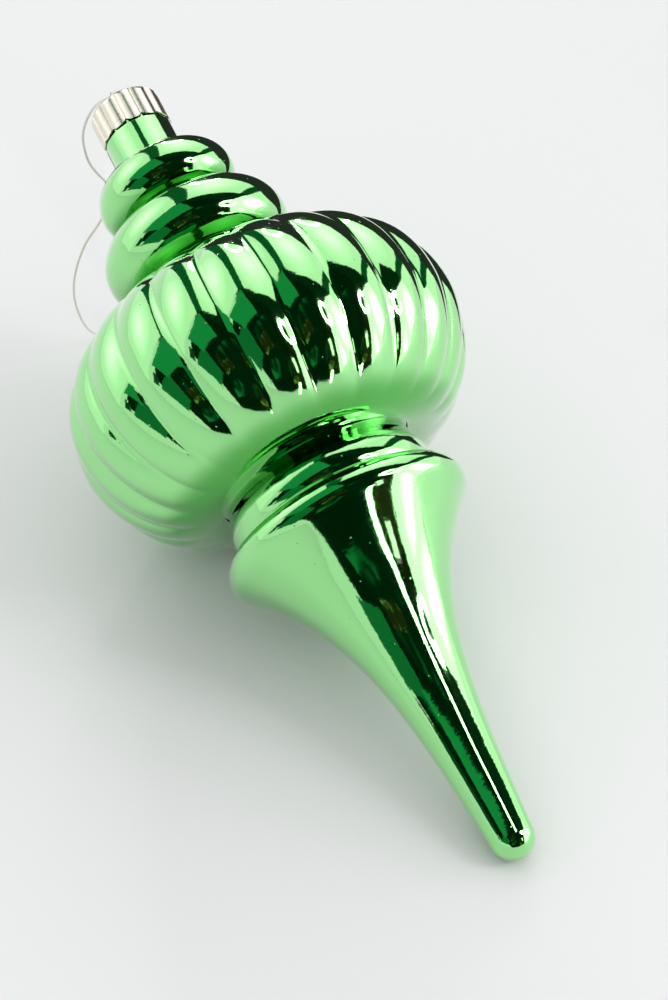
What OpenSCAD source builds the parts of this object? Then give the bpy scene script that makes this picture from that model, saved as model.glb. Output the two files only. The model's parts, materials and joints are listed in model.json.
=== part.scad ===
// Finial ornament: a moulded body with a lobed bulb, a crown cap, a spring wire with
// a hanging eye, and a thread loop. The body is solid below the bore of its neck.
// Millimetres, +Z up, lying on its side: the bulb and the tip touch the floor at
// Z = 0 and the cap points along +Y.
// Every piece is first drawn upright on its own axis, with the tip's end at the
// origin, and then laid down by one module. A station is a distance along that axis.

/* [Tip and cone] */
// Station of the cone's widest place
shoulder_station = 80.4; // [70:0.1:95]
// Radius of the cone's widest place
shoulder_radius = 28.2; // [24:0.1:32]
// Radius of the rounding at the cone's widest place
shoulder_round = 5; // [3:0.1:6]
// How far that rounding reaches from there toward the collar
shoulder_back = 4; // [3:0.1:5]
// Slope of the flare, in degrees, where it meets that rounding
shoulder_slope = 46; // [30:1:60]
// Radius of the ball at the tip's end
tip_radius = 4.9; // [3.5:0.1:6.5]
// Slope of the flare, in degrees, where it leaves the tip
tip_slope = 4.5; // [1:0.5:8]
// How far the flare keeps the tip's slope
flare_tip_reach = 34; // [20:1:45]
// How far the flare keeps the shoulder's slope
flare_shoulder_reach = 24; // [14:1:30]

/* [Collar] */
// Gap between the cone's back and the collar
collar_gap = 0.1; // [0.1:0.1:0.6]
// Radius of the collar's crest
collar_radius = 23.5; // [22.6:0.1:24.5]
// Half of the collar's width along the axis
collar_half_width = 3.6; // [2.6:0.1:4]
// Height of the collar's rounding
collar_height = 1.5; // [1.2:0.1:2.2]
// Radius of the waist between the collar and the bulb
waist_radius = 21.8; // [20.6:0.1:22.2]
// Radius of the fillet from the waist into the bulb's underside
waist_fillet = 0.9; // [0.6:0.1:1.4]

/* [Bulb] */
// Distance from the cone's widest place to the bulb's widest place
bulb_offset = 38.8; // [38:0.1:41]
// Radius over the crests of the lobes at the bulb's widest place
bulb_radius = 45.9; // [42:0.1:50]
// Distance from the bulb's widest place to the crease at the waist
bulb_under = 22.2; // [21.5:0.1:23.5]
// Lean of the underside at the crease, in degrees, dished when over 90
dish_lean = 112; // [95:1:115]
// How far the underside keeps that lean
dish_reach = 16; // [12:0.5:18]
// How far the side stays parallel to the axis below the widest place
belly_reach = 9; // [7:0.5:13]
// Distance from the bulb's widest place to its upper end
bulb_over = 27.6; // [26:0.1:28]
// Length at which the upper curve would close on the axis
bulb_over_reach = 29; // [28.6:0.1:31]
// Roundness of the bulb's crown, a power
bulb_crown_power = 2.3; // [2:0.1:2.6]
// Fullness of the bulb's sides, a power
bulb_side_power = 2.6; // [2.2:0.1:3]
// Number of lobes
lobes = 23; // [16:1:28]
// Depth of the grooves as a share of the radius
groove_share = 0.034; // [0.02:0.002:0.05]

/* [Rings and neck] */
// Distance from the bulb's widest place to the large ring's crest
large_ring_offset = 39; // [37.5:0.1:41]
// Radius of the large ring's crest
large_ring_radius = 22.2; // [20:0.1:24]
// Height of the large ring's rounding on the bulb's side
large_ring_height = 7.3; // [6.4:0.1:8]
// Half width of the large ring
large_ring_half_width = 8.2; // [7:0.1:8.8]
// Radius of the groove between the rings
notch_radius = 11.2; // [10:0.1:12]
// Distance from the large ring's crest to the small ring's crest
small_ring_offset = 16.1; // [15.6:0.1:17.5]
// Radius of the small ring's crest
small_ring_radius = 16.5; // [15:0.1:18]
// Half width of the small ring
small_ring_half_width = 7.3; // [6.4:0.1:7.8]
// Radius of the neck
neck_radius = 8.2; // [7.8:0.1:8.6]
// Distance from the small ring's crest to the step below the cap
neck_offset = 16.4; // [14:0.1:20]
// Radius of the mouth that the cap sits on
mouth_radius = 7.4; // [6.8:0.1:7.5]
// Length of the mouth
mouth_length = 8.6; // [7:0.1:10]
// Wall round the bore of the neck
wall = 1; // [0.8:0.1:1.4]

/* [Cap] */
// Number of petals
petals = 12; // [10:1:14]
// Height of the petals' crests over the skirt
petal_height = 0.7; // [0.5:0.1:1.2]
// Radius of each petal's flute
flute_radius = 2.5; // [2.3:0.1:2.8]
// Thickness of the sheet metal
cap_sheet = 0.3; // [0.2:0.05:0.4]
// Clearance between the mouth and the cap
cap_clearance = 0.1; // [0.05:0.05:0.2]
// Length of the skirt, to the ends of the petals
cap_length = 8.8; // [7.6:0.1:9.4]
// Rounding of the cap's upper edge
cap_edge = 1.8; // [1.2:0.1:2.2]
// Radius of the rounded end of a petal
petal_round = 2.2; // [1.9:0.1:2.4]
// Turn of the petals about the axis, in degrees
cap_turn = 4.5; // [0:0.5:30]

/* [Hanging wire] */
// Diameter of the spring wire
wire_d = 0.9; // [0.7:0.1:1.1]
// Radius of the eye, to the middle of the wire
eye_radius = 2; // [1.8:0.1:2.4]
// Straight height of the eye's sides above the cap
eye_rise = 1.9; // [1.5:0.1:3]
// Clearance round the wire in the cap's holes
wire_hole_clearance = 0.1; // [0.05:0.05:0.2]
// Radius of the bend where a leg starts to splay
leg_bend = 2; // [1.5:0.1:3]
// Splay of the legs inside the neck, in degrees
leg_splay = 18; // [17:0.5:24]
// Clearance between a leg's end and the neck's inner wall
leg_clearance = 0.05; // [0.05:0.05:0.2]

/* [Thread] */
// Diameter of the thread
thread_d = 0.6; // [0.5:0.1:0.8]
// Radius of the knot
knot_radius = 1.2; // [1.15:0.05:1.4]
// Length of the knot
knot_length = 2; // [2:0.1:2.6]
// How far the knot's middle hangs below the wire's middle
knot_drop = 0.4; // [0.35:0.05:0.5]
// Clearance between the knot and the wire
knot_clearance = 0.02; // [0.01:0.01:0.1]

/* [Quality] */
// Facets of a lobe's width
lobe_facets = 6; // [2:2:6]
// Rings of facets on each half of the bulb
bulb_rings = 11; // [8:1:12]
// Steps of the curves of the turned parts
curve_steps = 14; // [10:1:20]
// Steps round the eye of the wire
wire_steps = 20; // [12:2:30]
// Facets round the wire
wire_sides = 20; // [12:4:24]

/* [Hidden] */
$fn = 96;
// Small overlap that lets joined solids share volume
joint_overlap = 3;
// Angle at which an arc stops short of its tangent plane
arc_stop = 80;

collar_station = shoulder_station + shoulder_back + collar_gap + collar_half_width;
bulb_station = shoulder_station + bulb_offset;
crease_station = bulb_station - bulb_under;
bulb_end_station = bulb_station + bulb_over;
large_station = bulb_station + large_ring_offset;
small_station = large_station + small_ring_offset;
step_station = small_station + neck_offset;
mouth_station = step_station + mouth_length;
cap_top_station = mouth_station + cap_clearance + cap_sheet;
eye_station = cap_top_station + eye_rise;
crown_station = eye_station + eye_radius;
notch_station = (large_station + small_station) / 2 + 0.9;
cap_radius = mouth_radius + cap_clearance + cap_sheet + petal_height;
lobe_pitch = 360 / lobes;
bulb_sides = lobes * lobe_facets;

// Points are [station, radius] pairs
function arc_points(centre, half_width, height, from, to, steps) = [
    for (i = [0:steps])
        let (a = from + (to - from) * i / steps)
            centre + [half_width * sin(a), height * cos(a)]
];

function bezier_points(p0, p1, p2, p3, steps) = [
    for (i = [1:steps])
        let (t = i / steps)
            pow(1 - t, 3) * p0 + 3 * pow(1 - t, 2) * t * p1 + 3 * (1 - t) * t * t * p2 + pow(t, 3) * p3
];

// Ball of the tip, flare and shoulder
tip_centre = [tip_radius, 0];
shoulder_centre = [shoulder_station, shoulder_radius - shoulder_round];
flare_start = tip_centre + tip_radius * [-sin(tip_slope), cos(tip_slope)];
flare_end = shoulder_centre + shoulder_round * [-sin(shoulder_slope), cos(shoulder_slope)];
cone_points = concat(
    arc_points(tip_centre, tip_radius, tip_radius, -90, -tip_slope, 8),
    bezier_points(
        flare_start,
        flare_start + flare_tip_reach * [cos(tip_slope), sin(tip_slope)],
        flare_end - flare_shoulder_reach * [cos(shoulder_slope), sin(shoulder_slope)],
        flare_end,
        curve_steps * 2
    ),
    [for (p = [1:curve_steps]) let (a = -shoulder_slope + (90 + shoulder_slope) * p / curve_steps)
        shoulder_centre + [(a < 0 ? shoulder_round : shoulder_back) * sin(a), shoulder_round * cos(a)]]
);

// Collar, waist and the fillet that meets the bulb's underside
fillet_centre = [crease_station - waist_fillet / tan((180 - dish_lean) / 2), waist_radius + waist_fillet];
waist_points = concat(
    arc_points([collar_station, collar_radius - collar_height],
        collar_half_width, collar_height, -arc_stop, arc_stop, 10),
    [for (i = [0:8]) let (a = dish_lean * i / 8) fillet_centre + waist_fillet * [sin(a), -cos(a)]]
);

// Large ring, small ring and neck
ring_points = concat(
    arc_points([large_station, large_ring_radius - large_ring_height],
        large_ring_half_width, large_ring_height, -arc_stop, 0, curve_steps),
    [for (i = [1:curve_steps]) let (a = 90 * i / curve_steps)
        [large_station + (notch_station - large_station) * sin(a),
            notch_radius + (large_ring_radius - notch_radius) * cos(a)]],
    [for (i = [1:curve_steps]) let (a = -75 + 75 * i / curve_steps)
        [small_station + small_ring_half_width * sin(a),
            small_ring_radius - small_ring_half_width * (1 - cos(a))]],
    [for (i = [1:curve_steps]) let (a = 90 * i / curve_steps)
        [small_station + small_ring_half_width * sin(a),
            neck_radius + (small_ring_radius - neck_radius) * cos(a)]]
);

// Crest line of the bulb: its underside from the crease to the widest place, then its upper side
bulb_line = concat(
    [[crease_station, waist_radius]],
    bezier_points(
        [crease_station, waist_radius],
        [crease_station, waist_radius] + dish_reach * [cos(dish_lean), sin(dish_lean)],
        [bulb_station - belly_reach, bulb_radius],
        [bulb_station, bulb_radius],
        bulb_rings
    ),
    [for (i = [1:bulb_rings])
        let (station = bulb_station + bulb_over * sin(90 * i / bulb_rings))
            [station, upper_radius((station - bulb_station) / bulb_over_reach)]]
);

function upper_radius(share) =
    bulb_radius * pow(1 - pow(share, bulb_crown_power), 1 / bulb_side_power);

// The grooves fade out towards both ends of the bulb
function groove_fade(radius) =
    let (x = min(1, max(0, (radius - 0.5 * bulb_radius) / (0.3 * bulb_radius))))
        x * x * (3 - 2 * x);

lobed_points = [
    for (p = bulb_line)
        for (j = [0:bulb_sides - 1])
            let (
                a = 90 + 360 * j / bulb_sides,
                u = 2 * (j % lobe_facets) / lobe_facets - 1,
                r = p.y * (1 - groove_share * groove_fade(p.y) * u * u)
            )
                [r * cos(a), r * sin(a), p.x]
];

function tube_faces(rings, sides) = concat(
    [[for (j = [0:sides - 1]) j]],
    [for (i = [0:rings - 1]) for (j = [0:sides - 1])
        let (k = (j + 1) % sides)
            [i * sides + k, i * sides + j, (i + 1) * sides + j, (i + 1) * sides + k]],
    [[for (j = [0:sides - 1]) rings * sides + sides - 1 - j]]
);

// How far the bulb's lowest crest lies above the tip's lowest point when the axis rises by angle a
function rest_gap(a) =
    min([for (p = bulb_line) p.x * sin(a) - p.y * cos(a) * cos(lobe_pitch / 2)])
    - tip_radius * (sin(a) - 1);

function rest_angle(low, high, steps) =
    steps == 0
        ? (low + high) / 2
        : let (middle = (low + high) / 2)
            rest_gap(middle) < 0 ? rest_angle(middle, high, steps - 1) : rest_angle(low, middle, steps - 1);

lie_angle = rest_angle(5, 50, 40);
lie_rise = tip_radius * (1 - sin(lie_angle));
tip_end = tip_radius * (cos(lie_angle) - 1);
eye_end = eye_station * cos(lie_angle) + eye_radius * cos(lie_angle) + wire_d / 2;
length_middle = (tip_end + eye_end) / 2;

// Point on the floor frame for a station on the axis
function axis_place(station) =
    [0, station * cos(lie_angle) - length_middle, station * sin(lie_angle) + lie_rise];

// Route of the thread: from the knot's near face down on the near side, over the floor
// behind the bulb and back up to the knot's far face
thread_route = [
    [-1, 95.8, 72.1], [-2.6, 95.8, 72.2], [-4.8, 95.2, 72.1], [-7.2, 94.2, 71],
    [-9, 94, 68.1], [-9.8, 94, 64.1], [-9, 94, 58], [-7, 94, 53.5],
    [-4.9, 94, 50], [-4.4, 94, 46], [-5.4, 94, 42], [-7.9, 94, 38.2],
    [-11.7, 94, 33.5], [-14.6, 94, 26.8], [-15.7, 94, 20.8], [-15.5, 94, 16],
    [-14.3, 94, 10.6], [-12.2, 94.4, 6], [-8.6, 95.6, 1.9], [-4, 96, 0.4],
    [1.5, 94.6, 0.3], [6.5, 90.4, 0.3], [8.6, 84.5, 0.3], [7, 79, 0.3],
    [2.4, 76.8, 0.3], [-1.4, 79.6, 0.3], [-1.6, 85, 0.3], [0.2, 90, 0.6],
    [2.4, 94.4, 2.8], [3.8, 96.4, 8], [4.4, 97, 16], [4.6, 97, 26],
    [4.4, 96.8, 37], [4.2, 96.6, 48], [4.4, 96.4, 58], [4.6, 96.2, 66],
    [4, 96, 70.4], [2.6, 95.8, 72], [1, 95.8, 72.1]
];

// Smooth curve through the route's points, two steps for each stretch
function route_point(p, i, t) =
    let (
        n = len(p) - 1,
        a = p[max(0, i - 1)],
        b = p[i],
        c = p[min(n, i + 1)],
        d = p[min(n, i + 2)]
    )
        0.5 * (2 * b + (c - a) * t + (2 * a - 5 * b + 4 * c - d) * t * t + (3 * b - a - 3 * c + d) * t * t * t);

thread_line = concat(
    [for (i = [0:len(thread_route) - 2]) for (k = [0:1]) route_point(thread_route, i, k / 2)],
    [thread_route[len(thread_route) - 1]]
);

function unit(v) = v / norm(v);

function line_direction(p, i) = unit(p[min(len(p) - 1, i + 1)] - p[max(0, i - 1)]);

// Side direction of a swept section, carried along the line without twisting
function side_directions(p, last, i = 0) =
    i == len(p)
        ? []
        : let (
            d = line_direction(p, i),
            s = unit(last - (last * d) * d)
        )
            concat([s], side_directions(p, s, i + 1));

function swept_points(p, radius, sides, first_side) =
    let (across = side_directions(p, first_side))
        [for (i = [0:len(p) - 1])
            let (
                s = across[i],
                w = cross(line_direction(p, i), s)
            )
                for (j = [0:sides - 1])
                    let (a = 360 * j / sides)
                        p[i] + radius * (s * cos(a) + w * sin(a))];

// One leg of the wire, from its end in the neck up to the eye, on the side named by its sign
bend_station = cap_top_station - cap_sheet - 0.6;
bend_side = leg_bend * (1 - cos(leg_splay));
leg_reach = neck_radius - wall - leg_clearance - wire_d / 2 * cos(leg_splay);
leg_drop = (leg_reach - eye_radius - bend_side) / tan(leg_splay);
leg_end_station = bend_station - leg_bend * sin(leg_splay) - leg_drop;

function leg_line(side) = concat(
    [[side * leg_reach, 0, leg_end_station]],
    [for (i = [5:-1:0])
        let (a = leg_splay * i / 5)
            [side * (eye_radius + leg_bend * (1 - cos(a))), 0, bend_station - leg_bend * sin(a)]]
);

eye_line = [
    for (i = [0:wire_steps])
        let (a = 180 * i / wire_steps)
            [eye_radius * cos(a), 0, eye_station + eye_radius * sin(a)]
];

far_leg = leg_line(-1);
wire_line = concat(leg_line(1), eye_line, [for (i = [len(far_leg) - 1:-1:0]) far_leg[i]]);

// Lays a piece that is drawn upright on its axis down on the floor
module lie_down() {
    translate([0, -length_middle, lie_rise])
        rotate([lie_angle - 90, 0, 0])
            children();
}

// Solid of revolution from [station, radius] pairs, closed on the axis
module turned(outline) {
    points = concat(
        [[0, outline[0].x]],
        [for (p = outline) [max(p.y, 0), p.x]],
        [[0, outline[len(outline) - 1].x]]
    );
    rotate_extrude($fn = 96)
        polygon(points);
}

module lobed_bulb() {
    polyhedron(points = lobed_points, faces = tube_faces(len(bulb_line) - 1, bulb_sides), convexity = 6);
}

// Tip, cone, collar and waist up to a stub inside the bulb
module lower_body() {
    stub = [crease_station + joint_overlap, waist_points[len(waist_points) - 1].y];
    turned(concat(cone_points, waist_points, [stub]));
}

// Rings, neck and mouth, from a stub inside the bulb
module upper_body() {
    stub = [bulb_end_station - joint_overlap, ring_points[0].y];
    mouth = [[step_station, neck_radius], [step_station, mouth_radius], [mouth_station, mouth_radius]];
    turned(concat([stub], ring_points, mouth));
}

// Bore of the neck that takes the wire's legs
module neck_bore() {
    turned([
        [leg_end_station - 1, neck_radius - wall],
        [step_station - wall, neck_radius - wall],
        [step_station, mouth_radius - wall],
        [mouth_station + 1, mouth_radius - wall]
    ]);
}

module shell() {
    color([0.25, 0.72, 0.24])
        lie_down()
            difference() {
                union() {
                    lower_body();
                    lobed_bulb();
                    upper_body();
                }
                neck_bore();
            }
}

// Outline of the fluted skirt; offset_by moves it inwards for the inner face
module flute_outline(offset_by) {
    circle(r = mouth_radius + cap_clearance + cap_sheet - offset_by);
    for (i = [0:petals - 1])
        rotate((i + 0.5) * 360 / petals)
            translate([cap_radius - flute_radius, 0])
                circle(r = flute_radius - offset_by, $fn = 48);
}

// Round envelope of the cap with its rounded upper edge
module cap_envelope(offset_by) {
    edge = cap_edge - offset_by;
    top = cap_length - offset_by;
    outline = concat(
        [[-1, cap_radius + 1]],
        [[2, cap_radius + 1], [2, cap_radius - offset_by]],
        [for (i = [0:8]) let (a = 90 * i / 8) [top - edge + edge * sin(a), cap_radius - cap_edge + edge * cos(a)]]
    );
    turned(outline);
}

// One petal's rounded outline, cut through the skirt from the axis outwards
module petal_window() {
    half_pitch = cap_radius * tan(180 / petals);
    rotate([90, 0, 90])
        linear_extrude(cap_radius + 2) {
            translate([0, petal_round])
                circle(r = petal_round, $fn = 48);
            translate([-half_pitch, petal_round])
                square([2 * half_pitch, cap_length]);
        }
}

module cap() {
    color([0.93, 0.9, 0.83])
        lie_down()
            translate([0, 0, cap_top_station - cap_length])
                rotate(cap_turn)
                    difference() {
                        intersection() {
                            linear_extrude(cap_length)
                                flute_outline(0);
                            cap_envelope(0);
                            union()
                                for (i = [0:petals - 1])
                                    rotate((i + 0.5) * 360 / petals)
                                        petal_window();
                        }
                        intersection() {
                            translate([0, 0, -1])
                                linear_extrude(cap_length - cap_sheet + 1)
                                    flute_outline(cap_sheet);
                            cap_envelope(cap_sheet);
                        }
                        rotate(-cap_turn)
                            for (side = [-1, 1])
                                translate([side * eye_radius, 0, cap_length - 2])
                                    cylinder(r = wire_d / 2 + wire_hole_clearance, h = 4, $fn = 32);
                    }
}

module swept(line, radius, sides, first_side) {
    polyhedron(
        points = swept_points(line, radius, sides, first_side),
        faces = tube_faces(len(line) - 1, sides),
        convexity = 8
    );
}

module hanger_wire() {
    color([0.8, 0.79, 0.76])
        lie_down()
            swept(wire_line, wire_d / 2, wire_sides, [0, 1, 0]);
}

// Knot round the crown of the eye, with a flat face on each side for the thread's ends
module thread_knot() {
    color([0.86, 0.83, 0.76])
        lie_down()
            difference() {
                translate([-knot_length / 2, knot_drop, crown_station])
                    rotate([0, 90, 0])
                        cylinder(r = knot_radius, h = knot_length, $fn = 48);
                translate([0, 0, eye_station])
                    rotate([90, 0, 0])
                        rotate_extrude(angle = 180, $fn = 96)
                            translate([eye_radius, 0])
                                circle(d = wire_d + 2 * knot_clearance, $fn = 48);
            }
}

module thread() {
    color([0.86, 0.83, 0.76])
        swept(thread_line, thread_d / 2, 8, [0, 0, 1]);
}

shell();
cap();
hanger_wire();
thread_knot();
thread();
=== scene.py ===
"""Dresses the finial ornament: mirror-metallised body, crown cap, spring wire and thread.

Everything is in metres in the part's own frame: +Z up, the floor at Z = 0, the cap
toward +Y. The body is first worked out upright in millimetres, as pairs of station
(distance along its axis from the tip) and radius, and is then laid down.
"""

import json
import logging
import math
from dataclasses import dataclass
from enum import Enum
from typing import Optional, Sequence

import bpy
import numpy as np
from mathutils import Matrix, Vector

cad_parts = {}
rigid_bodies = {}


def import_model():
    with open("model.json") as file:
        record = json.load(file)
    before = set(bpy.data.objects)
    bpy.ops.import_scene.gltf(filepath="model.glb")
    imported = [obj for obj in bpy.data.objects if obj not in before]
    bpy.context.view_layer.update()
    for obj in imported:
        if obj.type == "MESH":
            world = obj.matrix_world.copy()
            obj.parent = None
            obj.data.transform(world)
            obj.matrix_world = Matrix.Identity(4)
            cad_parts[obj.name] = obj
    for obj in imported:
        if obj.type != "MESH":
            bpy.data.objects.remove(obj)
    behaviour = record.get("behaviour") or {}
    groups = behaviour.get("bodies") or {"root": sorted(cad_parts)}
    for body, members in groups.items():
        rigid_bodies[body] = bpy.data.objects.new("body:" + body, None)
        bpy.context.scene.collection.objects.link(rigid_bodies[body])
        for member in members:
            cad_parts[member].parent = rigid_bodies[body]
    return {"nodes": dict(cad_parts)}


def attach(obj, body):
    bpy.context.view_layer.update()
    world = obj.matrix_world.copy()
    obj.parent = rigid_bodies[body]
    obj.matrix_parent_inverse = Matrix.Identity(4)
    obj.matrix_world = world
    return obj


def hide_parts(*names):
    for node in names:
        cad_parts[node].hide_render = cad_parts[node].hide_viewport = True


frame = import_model()

LOG = logging.getLogger("finial")
MM = 0.001
Colour = tuple[float, float, float]
Pair = tuple[float, float]


def smooth_step(x: np.ndarray) -> np.ndarray:
    """Eases from 0 to 1 by x * x * (3 - 2 * x), for x clipped to 0...1."""
    x = np.clip(x, 0, 1)
    return x * x * (3 - 2 * x)


def ellipse_arc(
    centre: Sequence[float], half_width: float, height: float, start: float, end: float, steps: int
) -> np.ndarray:
    """Points on an ellipse: station = C + W * sin(a), radius = R + H * cos(a).

    Args:
        centre: station C and radius R of its middle.
        half_width: its half width W along the axis.
        height: its half height H across the axis, negative for a hollow arc.
        start: first angle a in degrees, where 0 is the outermost point, or the innermost of a hollow arc.
        end: last angle.
        steps: number of steps between them.

    Returns:
        A (steps + 1, 2) array of stations and radii.
    """
    angle = np.radians(np.linspace(start, end, steps + 1))
    return np.stack([centre[0] + half_width * np.sin(angle), centre[1] + height * np.cos(angle)], axis=1)


def bezier(points: Sequence[Sequence[float]], steps: int) -> np.ndarray:
    """Points of a cubic curve: its four control points weighted by the cubic Bernstein terms.

    Args:
        points: the four control points, as (station, radius) pairs.
        steps: number of steps along the curve.

    Returns:
        A (steps + 1, 2) array of stations and radii.
    """
    p0, p1, p2, p3 = (np.asarray(p, float) for p in points)
    t = np.linspace(0, 1, steps + 1)[:, None]
    return (1 - t) ** 3 * p0 + 3 * (1 - t) ** 2 * t * p1 + 3 * (1 - t) * t**2 * p2 + t**3 * p3


def soften_corners(outline: np.ndarray, cut: float, least: float) -> np.ndarray:
    """Replaces each sharp corner of an outline with a short parabolic arc.

    Args:
        outline: an (n, 2) array of stations and radii.
        cut: the length taken off each side of a corner, in millimetres.
        least: the turn, in degrees, from which a corner counts as sharp.

    Returns:
        The outline with four points at each such corner.
    """
    out = [outline[0]]
    for before, here, after in zip(outline[:-2], outline[1:-1], outline[2:]):
        a, b = here - before, after - here
        la, lb = np.linalg.norm(a), np.linalg.norm(b)
        turn = math.degrees(math.acos(max(-1.0, min(1.0, float(a @ b) / max(la * lb, 1e-12)))))
        if turn < least:
            out.append(here)
            continue
        short = min(cut, 0.45 * la, 0.45 * lb)
        start, end = here - a / la * short, here + b / lb * short
        for t in (0.0, 0.33, 0.67, 1.0):
            out.append((1 - t) ** 2 * start + 2 * (1 - t) * t * here + t**2 * end)
    out.append(outline[-1])
    return np.array(out)


@dataclass(frozen=True)
class BodySizes:
    """Sizes of the moulded body in millimetres, the same as in the part's source."""

    shoulder_station: float = 80.4
    shoulder_radius: float = 28.2
    shoulder_round: float = 5.0
    shoulder_back: float = 4.0
    shoulder_slope: float = 46.0
    tip_radius: float = 4.9
    tip_slope: float = 4.5
    flare_tip_reach: float = 34.0
    flare_shoulder_reach: float = 24.0
    collar_gap: float = 0.1
    collar_radius: float = 23.5
    collar_half_width: float = 3.6
    collar_height: float = 1.5
    waist_radius: float = 21.8
    waist_fillet: float = 0.9
    bulb_offset: float = 38.8
    bulb_radius: float = 45.9
    bulb_under: float = 22.2
    dish_lean: float = 112.0
    dish_reach: float = 16.0
    belly_reach: float = 9.0
    bulb_over: float = 27.6
    bulb_over_reach: float = 29.0
    bulb_crown_power: float = 2.3
    bulb_side_power: float = 2.6
    lobes: int = 23
    groove_share: float = 0.034
    groove_start: float = 0.5
    groove_rise: float = 0.3
    large_ring_offset: float = 39.0
    large_ring_radius: float = 22.2
    large_ring_height: float = 7.3
    large_ring_half_width: float = 8.2
    notch_radius: float = 11.2
    notch_shift: float = 0.9
    small_ring_offset: float = 16.1
    small_ring_radius: float = 16.5
    small_ring_half_width: float = 7.3
    neck_radius: float = 8.2
    neck_offset: float = 16.4
    mouth_radius: float = 7.4
    mouth_length: float = 8.6
    wall: float = 1.0

    @property
    def bulb_station(self) -> float:
        """Station of the bulb's widest point."""
        return self.shoulder_station + self.bulb_offset

    @property
    def collar_station(self) -> float:
        """Station of the collar's middle."""
        return self.shoulder_station + self.shoulder_back + self.collar_gap + self.collar_half_width

    @property
    def collar_end(self) -> float:
        """Station where the collar meets the waist."""
        return self.collar_station + self.collar_half_width

    @property
    def crease_station(self) -> float:
        """Station of the crease between the waist and the bulb."""
        return self.bulb_station - self.bulb_under

    @property
    def waist_reach(self) -> float:
        """Radius at the middle of the waist's fillet."""
        return self.waist_radius + self.waist_fillet

    @property
    def large_station(self) -> float:
        """Station of the large ring's middle."""
        return self.bulb_station + self.large_ring_offset

    @property
    def small_station(self) -> float:
        """Station of the small ring's middle."""
        return self.large_station + self.small_ring_offset

    @property
    def notch_station(self) -> float:
        """Station of the notch between the two rings."""
        return (self.large_station + self.small_station) / 2 + self.notch_shift

    @property
    def step_station(self) -> float:
        """Station of the step from the neck to its mouth."""
        return self.small_station + self.neck_offset

    @property
    def mouth_station(self) -> float:
        """Station of the mouth's rim."""
        return self.step_station + self.mouth_length


@dataclass(frozen=True)
class Lie:
    """How the upright body is laid on the floor: the tilt of its axis, and where it comes to lie."""

    angle: float = math.radians(19.966502)
    middle: float = 95.758785
    rise: float = 3.226794

    @property
    def axis(self) -> np.ndarray:
        """The body's axis in the row frame, from the tip to the cap."""
        return np.array([0.0, math.cos(self.angle), math.sin(self.angle)])

    def place(self, points: np.ndarray) -> np.ndarray:
        """Takes upright points in millimetres to the row frame in metres.

        Args:
            points: an (n, 3) array with the axis along its last coordinate.

        Returns:
            An (n, 3) array in metres.
        """
        x, y, z = points[:, 0], points[:, 1], points[:, 2]
        across = y * math.sin(self.angle) + z * math.cos(self.angle) - self.middle
        height = -y * math.cos(self.angle) + z * math.sin(self.angle) + self.rise
        return np.stack([x, across, height], axis=1) * MM


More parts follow.
